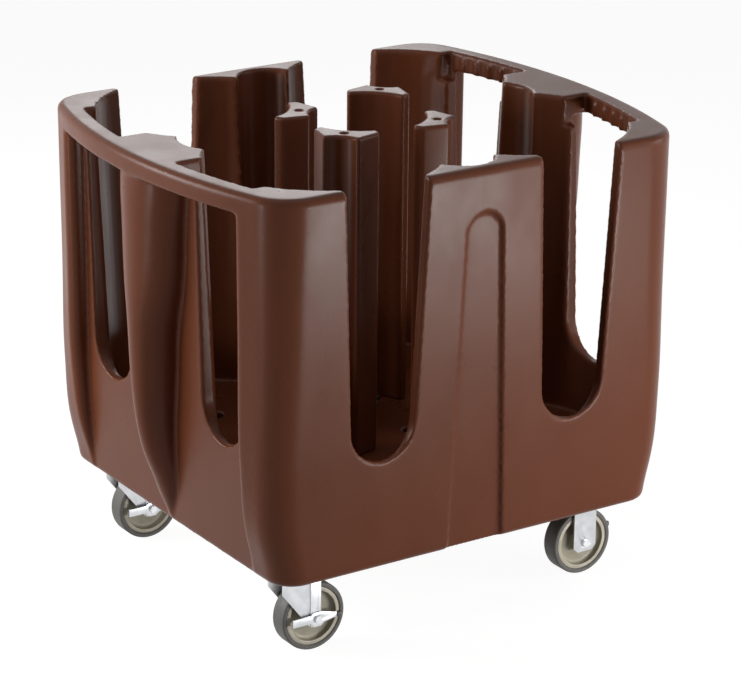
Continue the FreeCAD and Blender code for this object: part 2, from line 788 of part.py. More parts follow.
def make_tower(name, place, angle, reversed_tower):
    seat = dim.deck_height + dim.tower_seat_gap
    tower = body_of("tower_" + name)
    outline = sketch_on(tower, "XY", "plan_" + name)
    draw_outline(outline, tower_outline())
    lift(outline, seat)
    column = pad(tower, outline, top - seat, "column_" + name)
    doc.recompute()
    soft = tower.newObject("PartDesign::Fillet", "edges_" + name)
    chosen = []
    for index, edge in enumerate(column.Shape.Edges, start=1):
        bounds = edge.BoundBox
        if bounds.ZMin > seat.number + 1.0 or bounds.ZLength > (top - seat).number / 2:
            chosen.append("Edge%d" % index)
    soft.Base = (column, chosen)
    bind(soft, "Radius", dim.tower_edge_radius)
    tower.Tip = soft
    key = sketch_on(tower, "XY", "key_plan_" + name)
    key_half = dim.track_width / 2 - dim.track_clearance
    draw_outline(key, rectangle(key_half, key_half))
    lift(key, seat)
    pad(tower, key, dim.track_depth, "key_" + name, back=True)
    bore = sketch_on(tower, "XY", "bore_plan_" + name)
    draw_circle(bore, 0, 0, dim.rod_radius + dim.rod_clearance)
    lift(bore, seat - dim.track_depth)
    pocket(tower, bore, top - seat + dim.track_depth, "bore_" + name, back=True)
    sink = sketch_on(tower, "XY", "sink_plan_" + name)
    draw_circle(sink, 0, 0, dim.rod_head_radius + dim.rod_clearance)
    lift(sink, top)
    pocket(tower, sink, dim.rod_sink, "sink_" + name)
    place_tower(tower, place, angle, reversed_tower)
    return finished(tower, "tower_" + name)


def make_tower_rod(name, place, angle, reversed_tower):
    """The long socket-head bolt that clamps a tower to the deck."""
    head_foot = top - dim.rod_sink
    washer_foot = foot + dim.nut_track_depth - dim.seat_gap - dim.rod_washer_thick
    tip = washer_foot - dim.rod_nut_height - 1.5
    rod = body_of("tower_bolt_" + name)
    profile = sketch_on(rod, "XZ", "bolt_profile_" + name)
    draw_outline(profile, [
        (0, tip), (dim.rod_radius, tip), (dim.rod_radius, head_foot), (dim.rod_head_radius, head_foot),
        (dim.rod_head_radius, head_foot + dim.rod_head_height), (0, head_foot + dim.rod_head_height)])
    revolve(rod, profile, "bolt_turned_" + name, "V_Axis")
    socket = sketch_on(rod, "XY", "socket_plan_" + name)
    draw_outline(socket, hexagon(dim.rod_head_radius))
    lift(socket, head_foot + dim.rod_head_height)
    pocket(rod, socket, dim.rod_head_height / 2, "socket_" + name)
    place_tower(rod, place, angle, reversed_tower)
    finished(rod, "tower_bolt_" + name)
    nut = body_of("tower_nut_" + name)
    disc = sketch_on(nut, "XY", "washer_plan_" + name)
    draw_circle(disc, 0, 0, dim.rod_washer_radius)
    draw_circle(disc, 0, 0, dim.rod_radius + dim.running_gap)
    lift(disc, washer_foot)
    pad(nut, disc, dim.rod_washer_thick, "washer_" + name)
    flats = sketch_on(nut, "XY", "nut_plan_" + name)
    draw_outline(flats, hexagon(dim.rod_nut_flats))
    draw_circle(flats, 0, 0, dim.rod_radius + dim.running_gap)
    lift(flats, washer_foot)
    pad(nut, flats, dim.rod_nut_height, "flats_" + name, back=True)
    place_tower(nut, place, angle, reversed_tower)
    finished(nut, "tower_nut_" + name)


# ---- castors ----

def make_wheel(name, x, y):
    """Tyre, hub and bearing sleeve, turned about the axle."""
    half_rim = dim.rim_width / 2
    half_tread = dim.tread_width / 2
    shoulder = 3.5
    tyre = body_of("tyre_" + name)
    profile = sketch_on(tyre, "YZ", "tyre_profile_" + name)
    draw_outline(profile, [
        (-half_rim, dim.rim_radius), (half_rim, dim.rim_radius), (half_tread, dim.rim_radius + 2.0),
        (half_tread, dim.wheel_radius - shoulder, shoulder), (half_tread - shoulder, dim.wheel_radius),
        (-half_tread + shoulder, dim.wheel_radius, shoulder), (-half_tread, dim.wheel_radius - shoulder),
        (-half_tread, dim.rim_radius + 2.0)])
    revolve(tyre, profile, "tyre_turned_" + name)
    put(tyre, x, y, dim.wheel_radius)
    finished(tyre, "tyre_" + name)

    half_web = dim.web_thick / 2
    half_boss = dim.boss_width / 2
    rim_foot = dim.rim_radius - dim.rim_thick
    dish = 6.0
    hub = body_of("hub_" + name)
    profile = sketch_on(hub, "YZ", "hub_profile_" + name)
    draw_outline(profile, [
        (-half_boss, dim.hub_bore_radius), (half_boss, dim.hub_bore_radius), (half_boss, dim.boss_radius),
        (half_web + 1.0, dim.boss_radius + dish), (half_web, rim_foot - dish, -dish), (half_web + dish, rim_foot),
        (half_rim, rim_foot), (half_rim, dim.rim_radius), (-half_rim, dim.rim_radius), (-half_rim, rim_foot),
        (-half_web - dish, rim_foot, -dish), (-half_web, rim_foot - dish), (-half_web - 1.0, dim.boss_radius + dish),
        (-half_boss, dim.boss_radius)])
    revolve(hub, profile, "hub_turned_" + name)
    put(hub, x, y, dim.wheel_radius)
    finished(hub, "hub_" + name)

    sleeve = body_of("bearing_sleeve_" + name)
    profile = sketch_on(sleeve, "YZ", "sleeve_profile_" + name)
    outer = dim.hub_bore_radius - dim.running_gap
    draw_outline(profile, [(-half_boss, outer - dim.sleeve_wall), (half_boss, outer - dim.sleeve_wall),
                           (half_boss, outer), (-half_boss, outer)])
    revolve(sleeve, profile, "sleeve_turned_" + name)
    put(sleeve, x, y, dim.wheel_radius)
    finished(sleeve, "bearing_sleeve_" + name)


def make_axle(name, x, y, outer_side, outer_stack, inner_stack):
    """Axle tube between the legs, and the bolt and nut through them."""
    tube = body_of("axle_tube_" + name)
    profile = sketch_on(tube, "YZ", "tube_profile_" + name)
    inner = dim.axle_radius + dim.axle_fit
    outer = dim.hub_bore_radius - dim.sleeve_wall - 2 * dim.running_gap
    half = dim.fork_inner / 2
    draw_outline(profile, [(-half, inner), (half, inner), (half, outer), (-half, outer)])
    revolve(tube, profile, "tube_turned_" + name)
    put(tube, x, y, dim.wheel_radius)
    finished(tube, "axle_tube_" + name)

    head = (half + outer_stack) * outer_side
    nut = -(half + inner_stack) * outer_side
    bolt = body_of("axle_bolt_" + name)
    shank = sketch_on(bolt, "XZ", "shank_plan_" + name)
    draw_circle(shank, 0, 0, dim.axle_radius)
    lift(shank, -head)
    tail = inner_stack + outer_stack + dim.fork_inner + dim.axle_nut_height + 1.5
    pad(bolt, shank, tail, "shank_" + name, back=outer_side > 0)
    bolt.Tip.Reversed = outer_side < 0
    flats = sketch_on(bolt, "XZ", "head_plan_" + name)
    draw_outline(flats, hexagon(dim.axle_head_flats))
    lift(flats, -head)
    pad(bolt, flats, dim.axle_head_height, "head_" + name, back=outer_side > 0)
    put(bolt, x, y, dim.wheel_radius)
    finished(bolt, "axle_bolt_" + name)

    lock = body_of("axle_nut_" + name)
    flats = sketch_on(lock, "XZ", "nut_plan_" + name)
    draw_outline(flats, hexagon(dim.axle_head_flats))
    draw_circle(flats, 0, 0, dim.axle_radius + dim.running_gap)
    lift(flats, -nut)
    pad(lock, flats, dim.axle_nut_height, "nut_flats_" + name, back=outer_side < 0)
    put(lock, x, y, dim.wheel_radius)
    finished(lock, "axle_nut_" + name)


def draw_plate(sketch):
    """Rounded top plate with its four bolt holes."""
    half_l, half_w, corner = dim.plate_length / 2, dim.plate_width / 2, dim.plate_corner
    draw_outline(sketch, [
        (-half_l + corner, -half_w), (half_l - corner, -half_w, corner), (half_l, -half_w + corner),
        (half_l, half_w - corner, corner), (half_l - corner, half_w), (-half_l + corner, half_w, corner),
        (-half_l, half_w - corner), (-half_l, -half_w + corner, corner)])
    for step_x, step_y in MIRRORS:
        draw_circle(sketch, dim.bolt_pitch_x * (step_x / 2), dim.bolt_pitch_y * (step_y / 2), dim.bolt_hole_radius)


def make_swivel_head(name, x, y):
    """Top plate, upper race, kingpin and its nut: the fixed half of a swivel castor."""
    plate_foot = foot - dim.plate_thick
    plate = body_of("top_plate_" + name)
    outline = sketch_on(plate, "XY", "plate_plan_" + name)
    draw_plate(outline)
    draw_circle(outline, 0, 0, dim.kingpin_radius + dim.axle_fit)
    lift(outline, plate_foot)
    pad(plate, outline, dim.plate_thick, "plate_" + name)
    put(plate, x, y)
    finished(plate, "top_plate_" + name)

    race_foot = dim.crown_top + 2 * dim.ball_radius + 2 * dim.ball_touch
    lip_foot = dim.crown_top + 1.5
    race = body_of("swivel_race_" + name)
    profile = sketch_on(race, "XZ", "race_profile_" + name)
    inner = dim.kingpin_radius + dim.axle_fit
    draw_outline(profile, [
        (inner, race_foot), (dim.race_radius - dim.race_lip, race_foot), (dim.race_radius - dim.race_lip, lip_foot),
        (dim.race_radius, lip_foot), (dim.race_radius, race_foot), (dim.race_radius - 3.0, plate_foot),
        (inner, plate_foot)])
    revolve(race, profile, "race_turned_" + name, "V_Axis")
    put(race, x, y)
    finished(race, "swivel_race_" + name)

    crown_foot = dim.crown_top - dim.crown_thick
    nut_top = crown_foot - dim.seat_gap
    nut_foot = nut_top - dim.kingpin_nut_height
    pin = body_of("kingpin_" + name)
    profile = sketch_on(pin, "XZ", "pin_profile_" + name)
    draw_outline(profile, [
        (0, nut_foot - 1.0), (dim.kingpin_radius, nut_foot - 1.0), (dim.kingpin_radius, foot),
        (dim.kingpin_head_radius, foot), (dim.kingpin_head_radius - 2.0, foot + 3.0), (0, foot + 3.0)])
    revolve(pin, profile, "pin_turned_" + name, "V_Axis")
    put(pin, x, y)
    finished(pin, "kingpin_" + name)

    nut = body_of("kingpin_nut_" + name)
    flats = sketch_on(nut, "XY", "pin_nut_plan_" + name)
    draw_outline(flats, hexagon(dim.kingpin_nut_flats))
    draw_circle(flats, 0, 0, dim.kingpin_radius + dim.running_gap)
    lift(flats, nut_foot)
    pad(nut, flats, dim.kingpin_nut_height, "pin_nut_" + name)
    put(nut, x, y)
    finished(nut, "kingpin_nut_" + name)


def make_ball_ring(name, x, y):
    """Loose balls between the upper race and the fork's crown."""
    level = dim.crown_top + dim.ball_touch + dim.ball_radius
    balls = []
    for number in range(BALLS_PER_RACE):
        turn = 2 * math.pi * number / BALLS_PER_RACE
        ball = doc.addObject("Part::Sphere", "ball")
        bind(ball, "Radius", dim.ball_radius)
        put(ball, x + dim.ball_ring_radius * round(math.cos(turn), 6),
            y + dim.ball_ring_radius * round(math.sin(turn), 6), level)
        balls.append(ball)
    ring = doc.addObject("Part::Compound", "swivel_balls_" + name)
    ring.Links = balls
    finished(ring, "swivel_balls_" + name)


def make_swivel_fork(name, x, y):
    """Bent fork whose legs rake back from the round crown to the axle."""
    axle_x, axle_z = dim.swivel_lead, dim.wheel_radius
    half_out = dim.fork_inner / 2 + dim.fork_thick
    crown, crown_foot = dim.crown_radius, dim.crown_top - dim.crown_thick
    right = axle_x + dim.leg_edge
    fork = body_of("fork_" + name)
    side = sketch_on(fork, "XZ", "fork_side_" + name)
    draw_outline(side, [
        (-crown, dim.crown_top), (-crown, dim.crown_top - dim.fork_side_drop),
        (axle_x - dim.fork_bend_back, axle_z + dim.fork_bend_rise),
        (axle_x - dim.fork_toe_back, axle_z - dim.fork_toe_drop),
        (axle_x - dim.leg_edge, axle_z - dim.leg_end_radius),
        (axle_x + dim.leg_edge / 2, axle_z - dim.leg_end_radius), (right, axle_z - dim.leg_edge),
        (right, dim.crown_top)])
    pad(fork, side, 2 * half_out, "fork_block_" + name, both_ways=True)
    inside = sketch_on(fork, "YZ", "fork_gap_" + name)
    draw_outline(inside, [(-dim.fork_inner / 2, 0), (dim.fork_inner / 2, 0), (dim.fork_inner / 2, crown_foot),
                          (-dim.fork_inner / 2, crown_foot)])
    pocket(fork, inside, 4 * crown, "fork_space_" + name, both_ways=True)
    disc = sketch_on(fork, "XY", "crown_plan_" + name)
    draw_circle(disc, 0, 0, crown)
    lift(disc, dim.crown_top)
    pad(fork, disc, dim.crown_thick, "crown_" + name, back=True)
    axle = sketch_on(fork, "XZ", "axle_hole_plan_" + name)
    draw_circle(axle, axle_x, axle_z, dim.axle_radius + dim.axle_fit)
    pocket(fork, axle, 4 * half_out, "axle_hole_" + name, both_ways=True)
    pin = sketch_on(fork, "XY", "pin_hole_plan_" + name)
    draw_circle(pin, 0, 0, dim.kingpin_radius + dim.axle_fit)
    lift(pin, dim.crown_top)
    pocket(fork, pin, dim.crown_thick, "pin_hole_" + name)
    put(fork, x, y)
    finished(fork, "fork_" + name)


def make_rigid_fork(name, x, y):
    """Fixed castor housing: a top plate with two straight legs."""
    axle_z = dim.wheel_radius
    half_out = dim.fork_inner / 2 + dim.fork_thick
    plate_foot = foot - dim.plate_thick
    leg, low, bevel = dim.rigid_leg_width / 2, axle_z - dim.rigid_leg_drop, dim.rigid_leg_chamfer
    fork = body_of("fork_" + name)
    side = sketch_on(fork, "XZ", "leg_side_" + name)
    draw_outline(side, [(-leg, plate_foot), (-leg, low + bevel), (-leg + bevel, low), (leg - bevel, low),
                        (leg, low + bevel), (leg, plate_foot)])
    pad(fork, side, 2 * half_out, "leg_block_" + name, both_ways=True)
    inside = sketch_on(fork, "YZ", "leg_gap_" + name)
    ceiling = plate_foot - dim.crown_thick
    draw_outline(inside, [(-dim.fork_inner / 2, 0), (dim.fork_inner / 2, 0), (dim.fork_inner / 2, ceiling),
                          (-dim.fork_inner / 2, ceiling)])
    pocket(fork, inside, 4 * leg, "leg_space_" + name, both_ways=True)
    plan = sketch_on(fork, "XY", "leg_plate_plan_" + name)
    draw_plate(plan)
    lift(plan, plate_foot)
    pad(fork, plan, dim.plate_thick, "leg_plate_" + name)
    axle = sketch_on(fork, "XZ", "leg_axle_plan_" + name)
    draw_circle(axle, 0, axle_z, dim.axle_radius + dim.axle_fit)
    pocket(fork, axle, 4 * half_out, "leg_axle_" + name, both_ways=True)
    put(fork, x, y)
    finished(fork, "fork_" + name)


def make_brake(name, x, y, side, strip, reach_front):
    """Pressed side-lock lever that rocks on the axle bolt, over a strip that it squeezes against the leg."""
    face = dim.fork_inner / 2 + dim.fork_thick
    if strip:
        plate = body_of("brake_strip_" + name)
        outline = sketch_on(plate, "XZ", "strip_plan_" + name)
        left, right = dim.leg_edge - dim.brake_strip_width, dim.leg_edge
        high = dim.crown_top - dim.crown_thick - dim.wheel_radius
        draw_outline(outline, [(left, -dim.leg_end_radius), (right, -dim.leg_end_radius), (right, high), (left, high)])
        draw_circle(outline, 0, 0, dim.axle_radius + dim.axle_fit)
        lift(outline, -face * side)
        pad(plate, outline, dim.brake_strip_thick, "strip_" + name, back=side > 0)
        put(plate, x, y, dim.wheel_radius)
        finished(plate, "brake_strip_" + name)
        face = face + dim.brake_strip_thick
    lever = body_of("brake_lever_" + name)
    outline = sketch_on(lever, "XZ", "lever_plan_" + name)
    hub = dim.lever_hub_radius
    draw_outline(outline, [
        (-dim.lever_wing_back, -7.0), (-hub + 1.0, -7.0), (-8.0, -hub), (7.0, -hub), (14.0, -9.0),
        (reach_front, -4.0), (reach_front, 2.0), (9.0, 12.0), (-9.0, 12.0), (-14.0, 8.0), (-dim.lever_wing_back, 8.0)])
    draw_circle(outline, 0, 0, dim.axle_radius + dim.axle_fit)
    lift(outline, -(face + dim.lever_gap) * side)
    pad(lever, outline, dim.lever_thick, "lever_" + name, back=side > 0)
    put(lever, x, y, dim.wheel_radius)
    finished(lever, "brake_lever_" + name)


def make_plate_bolts():
    """Hexagon bolts that hold the four castor plates to the body."""
    shapes = []
    under_plate = foot - dim.plate_thick
    for name, side_x, side_y, x, y in castor_places():
        for step_x, step_y in MIRRORS:
            bolt_x = x + dim.bolt_pitch_x * (step_x / 2)
            bolt_y = y + dim.bolt_pitch_y * (step_y / 2)
            head = doc.addObject("Part::Prism", "bolt_head")
            bind(head, "Circumradius", dim.bolt_head_flats / math.sqrt(3))
            bind(head, "Height", dim.bolt_head_height)
            put(head, bolt_x, bolt_y, under_plate - dim.bolt_head_height)
            shank = cylinder("bolt_shank", dim.bolt_radius, dim.bolt_length - OVERSHOOT, bolt_x, bolt_y, under_plate)
            shapes.append(fuse("plate_bolt", [head, shank]))
    bolts = doc.addObject("Part::Compound", "plate_bolts")
    bolts.Links = shapes
    finished(bolts, "plate_bolts")


# ---- the cart ----

make_body_shell()
TOWERS = (("back_left", dim.tower_reach_back_left, 135, True),
          ("front_left", dim.tower_reach_front_left, 225, False),
          ("front_right", dim.tower_reach_front_right, 315, False),
          ("back_right", dim.tower_reach_back_right, 45, False))
for tower_name, tower_place, diagonal, reversed_tower in TOWERS:
    make_tower(tower_name, tower_place, diagonal, reversed_tower)
    make_tower_rod(tower_name, tower_place, diagonal, reversed_tower)
for castor_name, side_x, side_y, plate_x, plate_y in castor_places():
    swivels = side_x < 0
    axle_x = plate_x + dim.swivel_lead if swivels else plate_x
    make_wheel(castor_name, axle_x, plate_y)
    lever_stack = dim.lever_gap + dim.lever_thick + dim.seat_gap
    if swivels:
        make_swivel_head(castor_name, plate_x, plate_y)
        make_ball_ring(castor_name, plate_x, plate_y)
        make_swivel_fork(castor_name, plate_x, plate_y)
        make_brake(castor_name, axle_x, plate_y, LEVER_SIDE, True, dim.lever_wing_front)
        make_axle(castor_name, axle_x, plate_y, LEVER_SIDE,
                  dim.fork_thick + dim.brake_strip_thick + lever_stack, dim.fork_thick + dim.seat_gap)
    else:
        make_rigid_fork(castor_name, plate_x, plate_y)
        make_brake(castor_name, axle_x, plate_y, -side_y, False, dim.pedal_reach)
        make_axle(castor_name, axle_x, plate_y, side_y, dim.fork_thick + dim.seat_gap,
                  dim.fork_thick + lever_stack)
make_plate_bolts()
doc.recompute()

broken = [thing.Label for thing in doc.Objects if "Invalid" in thing.State or "Error" in thing.State]
if broken:
    raise RuntimeError("did not rebuild: " + ", ".join(broken))

os.makedirs("parts", exist_ok=True)
for piece in pieces:
    shape = piece.Shape
    if shape.isNull() or not shape.isValid() or not shape.Solids:
        raise RuntimeError("%s has no sound solid" % piece.Label)
    shape.exportStep("parts/%s.step" % piece.Label)
    print("%-28s solids %2d  volume %12.1f" % (piece.Label, len(shape.Solids), shape.Volume))
print("pieces", len(pieces))
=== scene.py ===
import json
import math

import bmesh
import bpy
from mathutils import Matrix, Vector


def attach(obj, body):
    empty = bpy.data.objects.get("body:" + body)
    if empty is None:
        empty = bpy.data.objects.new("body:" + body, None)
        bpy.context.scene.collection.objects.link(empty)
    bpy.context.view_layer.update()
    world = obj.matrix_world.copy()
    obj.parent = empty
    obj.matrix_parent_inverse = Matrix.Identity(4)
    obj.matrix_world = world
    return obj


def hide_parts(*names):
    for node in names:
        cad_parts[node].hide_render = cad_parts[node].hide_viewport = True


# Plate dispenser cart. Metres, in the frame of the CAD model: origin on the floor, front side at -Y, +Z up.

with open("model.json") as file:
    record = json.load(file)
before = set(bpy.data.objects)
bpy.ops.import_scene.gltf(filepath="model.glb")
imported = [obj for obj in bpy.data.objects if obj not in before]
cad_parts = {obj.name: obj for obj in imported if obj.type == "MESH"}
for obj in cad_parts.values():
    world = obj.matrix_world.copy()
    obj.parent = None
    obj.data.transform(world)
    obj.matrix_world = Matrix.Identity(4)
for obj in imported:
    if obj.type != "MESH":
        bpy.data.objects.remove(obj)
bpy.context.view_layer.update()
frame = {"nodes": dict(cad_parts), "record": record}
NODES = frame["nodes"]

# the camera, solved from the cart's own edges
IMAGE_WIDTH = 741
CAMERA_PLACE = Vector((-2.8628, -4.3787, 2.2896))
CAMERA_YAW = math.radians(-33.425)
CAMERA_PITCH = math.radians(19.515)
CAMERA_ROLL = math.radians(0.484)
FOCAL_PIXELS = 3008.5
SENSOR_WIDTH = 36.0

# the voxel grid stands askew to the cart, so that long straight edges stay straight
GRID_TURN = Matrix.Rotation(0.61, 4, "Z") @ Matrix.Rotation(0.47, 4, "X") @ Matrix.Rotation(0.38, 4, "Y")
BODY_VOXEL = 0.0031
BODY_SMOOTH_TURNS = 14
TOWER_VOXEL = 0.0024
TOWER_SMOOTH_TURNS = 10
TOWER_INSET = 0.0003
CORNERS = ("front_left", "front_right", "back_right", "back_left")

# share of a wheel centre's radius at which its rim ring begins
RING_START = 0.875
# stations along a pedal's dark tip: place from the lever's end, width and height
TIP_STATIONS = (
    (-0.0065, 0.0062, 0.0088),
    (-0.0055, 0.0074, 0.0098),
    (0.0008, 0.0078, 0.0102),
    (0.0026, 0.0070, 0.0094),
    (0.0036, 0.0046, 0.0068),
)
TIP_SIDES = 20
# 1 would make the tip's section an ellipse, 0 a rectangle
TIP_SQUARENESS = 0.6
# how far from its tip the lever's end is measured
LEVER_END = 0.002

# width of the broken edges of the pressed and moulded hard parts
FORK_EDGE = 0.0011
LEVER_EDGE = 0.0009
STRIP_EDGE = 0.0007
HUB_EDGE = 0.0007
EDGE_SEGMENTS = 2
WELD = 2e-6
FLAT_ANGLE = math.radians(1.0)
BEVEL_ANGLE = math.radians(35)
SHARP_ANGLE = math.radians(40)
CAD_SHARP_ANGLE = math.radians(30)

WORLD_LIGHT = 0.05
FLOOR_REACH = 14.0
FLOOR_COLOUR = 0.2
FLOOR_GLOW = 0.94
# name, place, aim, width, height and radiance of each lamp
SOFTBOXES = (
    ("left", (-2.7, -0.16, 0.45), (0, 0, 0.45), 0.16, 0.8, 27.0),
    ("left back", (-2.05, 1.25, 1.15), (0, 0, 0.5), 1.1, 1.0, 12.5),
    ("front", (0.85, -2.1, 0.13), (0, -0.3, 0.4), 1.1, 0.24, 31.0),
    ("front right", (2.1, -1.6, 0.9), (0, -0.2, 0.45), 1.1, 1.1, 4.0),
    ("back", (1.18, 2.5, 1.95), (0, 0, 0.86), 1.35, 1.1, 2.9),
    ("overhead", (-0.2, -0.5, 2.7), (0, 0, 0.5), 1.6, 1.6, 0.8),
)


# ---- materials ----

class Shader:
    """Builds one node material step by step."""

    def __init__(self, name, colour, roughness, metallic=0.0):
        self.material = bpy.data.materials.new(name)
        self.material.use_nodes = True
        self.tree = self.material.node_tree
        self.surface = self.tree.nodes["Principled BSDF"]
        self.surface.inputs["Base Color"].default_value = (*colour, 1.0)
        self.surface.inputs["Roughness"].default_value = roughness
        self.surface.inputs["Metallic"].default_value = metallic
        self.place = self.node("ShaderNodeTexCoord").outputs["Object"]

    def node(self, kind, **settings):
        made = self.tree.nodes.new(kind)
        for key, value in settings.items():
            if hasattr(made, key):
                setattr(made, key, value)
            else:
                made.inputs[key.replace("_", " ")].default_value = value
        return made

    def link(self, start, end):
        self.tree.links.new(start, end)

    def noise(self, scale, detail=3.0, stretch=(1.0, 1.0, 1.0), roughness=0.5):
        """Noise over the piece's own place, stretched along its axes."""
        mapping = self.node("ShaderNodeMapping")
        mapping.inputs["Scale"].default_value = stretch
        self.link(self.place, mapping.inputs["Vector"])
        made = self.node("ShaderNodeTexNoise", Scale=scale, Detail=detail, Roughness=roughness)
        self.link(mapping.outputs["Vector"], made.inputs["Vector"])
        return made.outputs["Fac"]

    def ramp(self, value, low, high, start=0.35, end=0.65):
        """Maps a value to a range."""
        made = self.node("ShaderNodeMapRange")
        for key, number in (("From Min", start), ("From Max", end), ("To Min", low), ("To Max", high)):
            made.inputs[key].default_value = number
        self.link(value, made.inputs["Value"])
        return made.outputs["Result"]

    def mix(self, factor, first, second):
        """Mixes two colours, given as tuples or as outputs."""
        made = self.node("ShaderNodeMix", data_type="RGBA")
        self.link(factor, made.inputs["Factor"])
        for colour, socket in ((first, made.inputs["A"]), (second, made.inputs["B"])):
            colour_socket = [entry for entry in made.inputs if entry.name == socket.name and entry.type == "RGBA"][0]
            if isinstance(colour, tuple):
                colour_socket.default_value = (*colour, 1.0)
            else:
                self.link(colour, colour_socket)
        return [entry for entry in made.outputs if entry.type == "RGBA"][0]

    def bump(self, height, strength, distance):
        """Adds relief over what relief the surface has already."""
        made = self.node("ShaderNodeBump", Strength=strength, Distance=distance)
        self.link(height, made.inputs["Height"])
        previous = self.surface.inputs["Normal"].links
        if previous:
            self.link(previous[0].from_socket, made.inputs["Normal"])
        self.link(made.outputs["Normal"], self.surface.inputs["Normal"])


def moulding_material():
    """Satin dark brown polyethylene: a fine orange-peel grain, faint flow bands and handling marks."""
    shader = Shader("brown moulding", (0.132, 0.036, 0.014), 0.3)
    broad = shader.noise(3.2, 2.0, (1.0, 1.0, 0.35))
    speck = shader.noise(420.0, 2.0)
    tone = shader.mix(shader.ramp(broad, 0.0, 1.0), (0.124, 0.033, 0.012), (0.142, 0.040, 0.017))
    tone = shader.mix(shader.ramp(speck, 0.0, 0.22, 0.5, 0.72), tone, (0.175, 0.066, 0.038))
    shader.link(tone, shader.surface.inputs["Base Color"])
    wear = shader.noise(11.0, 6.0, (1.0, 1.0, 0.5), 0.6)
    shader.link(shader.ramp(wear, 0.27, 0.35), shader.surface.inputs["Roughness"])
    shader.bump(shader.noise(6.0, 1.0, (1.0, 1.0, 0.5)), 0.08, 0.004)
    shader.bump(shader.noise(900.0, 2.0), 0.10, 0.0003)
    shader.surface.inputs["Specular IOR Level"].default_value = 0.15
    return shader.material


def rubber_material():
    """Warm grey tyre rubber with a dusty, scuffed tread."""
    shader = Shader("grey rubber", (0.10, 0.094, 0.085), 0.55)
    dust = shader.noise(60.0, 5.0, roughness=0.65)
    tone = shader.mix(shader.ramp(dust, 0.0, 1.0, 0.4, 0.75), (0.090, 0.085, 0.077), (0.155, 0.145, 0.132))
    shader.link(tone, shader.surface.inputs["Base Color"])
    shader.link(shader.ramp(dust, 0.46, 0.68), shader.surface.inputs["Roughness"])
    shader.bump(shader.noise(700.0, 3.0), 0.25, 0.0004)
    return shader.material


def hub_material():
    """Beige moulded wheel centre, with painted shade on its dished web and painted light on its raised rim ring."""
    shader = Shader("beige hub", (0.40, 0.35, 0.25), 0.42)
    cloud = shader.noise(35.0, 4.0)
    # the web's darker tone is painted shade in the dished centre, the rim's paler tone painted light on the raised
    # ring
    web = shader.mix(shader.ramp(cloud, 0.0, 1.0), (0.33, 0.30, 0.225), (0.41, 0.375, 0.29))
    rim = shader.mix(shader.ramp(cloud, 0.0, 1.0), (0.50, 0.45, 0.35), (0.60, 0.55, 0.44))
    ring = shader.node("ShaderNodeAttribute", attribute_name="ring")
    tone = shader.mix(ring.outputs["Fac"], web, rim)
    shader.link(tone, shader.surface.inputs["Base Color"])
    shader.link(shader.ramp(cloud, 0.34, 0.5), shader.surface.inputs["Roughness"])
    shader.bump(shader.noise(500.0, 2.0), 0.12, 0.0003)
    return shader.material


def zinc_material():
    """Bright zinc-plated pressed steel, softly clouded."""
    shader = Shader("zinc plate", (0.60, 0.61, 0.63), 0.34, 1.0)
    cloud = shader.noise(60.0, 3.0, roughness=0.5)
    tone = shader.mix(shader.ramp(cloud, 0.0, 1.0), (0.57, 0.58, 0.60), (0.65, 0.66, 0.675))
    shader.link(tone, shader.surface.inputs["Base Color"])
    shader.link(shader.ramp(cloud, 0.32, 0.38), shader.surface.inputs["Roughness"])
    shader.bump(shader.noise(300.0, 2.0, (1.0, 1.0, 0.3)), 0.05, 0.0002)
    return shader.material


def bearing_material():
    """Ground bearing steel with fine turning marks."""
    shader = Shader("bearing steel", (0.52, 0.52, 0.53), 0.22, 1.0)
    lines = shader.noise(300.0, 2.0, (1.0, 12.0, 1.0))
    shader.link(shader.ramp(lines, 0.16, 0.3), shader.surface.inputs["Roughness"])
    shader.bump(lines, 0.08, 0.0002)
    return shader.material


MATERIALS = {
    "moulding": moulding_material(),
    "tyre": rubber_material(),
    "hub": hub_material(),
    "zinc": zinc_material(),
    "bearing": bearing_material(),
}
SLOTS = {entry["node"]: entry["material_slot"] for entry in frame["record"]["subparts"]}
BODY_OF = {node: body for body, nodes in frame["record"]["behaviour"]["bodies"].items() for node in nodes}


def dress(piece, slot):
    """Gives a piece one material."""
    piece.data.materials.clear()
    piece.data.materials.append(MATERIALS[slot])


# ---- pieces that stand for CAD nodes ----

def copy_of(node, name):
    """A welded copy of a CAD node's mesh as a new object."""
    mesh = NODES[node].data.copy()
    piece = bpy.data.objects.new(name, mesh)
    bpy.context.scene.collection.objects.link(piece)
    shape = bmesh.new()
    shape.from_mesh(mesh)
    bmesh.ops.remove_doubles(shape, verts=shape.verts, dist=WELD)
    shape.to_mesh(mesh)
    shape.free()
    if mesh.has_custom_normals:
        with bpy.context.temp_override(object=piece, active_object=piece):
            bpy.ops.mesh.customdata_custom_splitnormals_clear()
    return piece


def apply_modifiers(piece):
    """Turns a piece's modifiers into mesh."""
    evaluated = piece.evaluated_get(bpy.context.evaluated_depsgraph_get())
    mesh = bpy.data.meshes.new_from_object(evaluated)
    piece.modifiers.clear()
    piece.data = mesh


def stand_for(piece, node):
    """A finished piece takes a node's place, body and finish."""
    dress(piece, SLOTS[node])
    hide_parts(node)
    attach(piece, BODY_OF[node])
    return piece


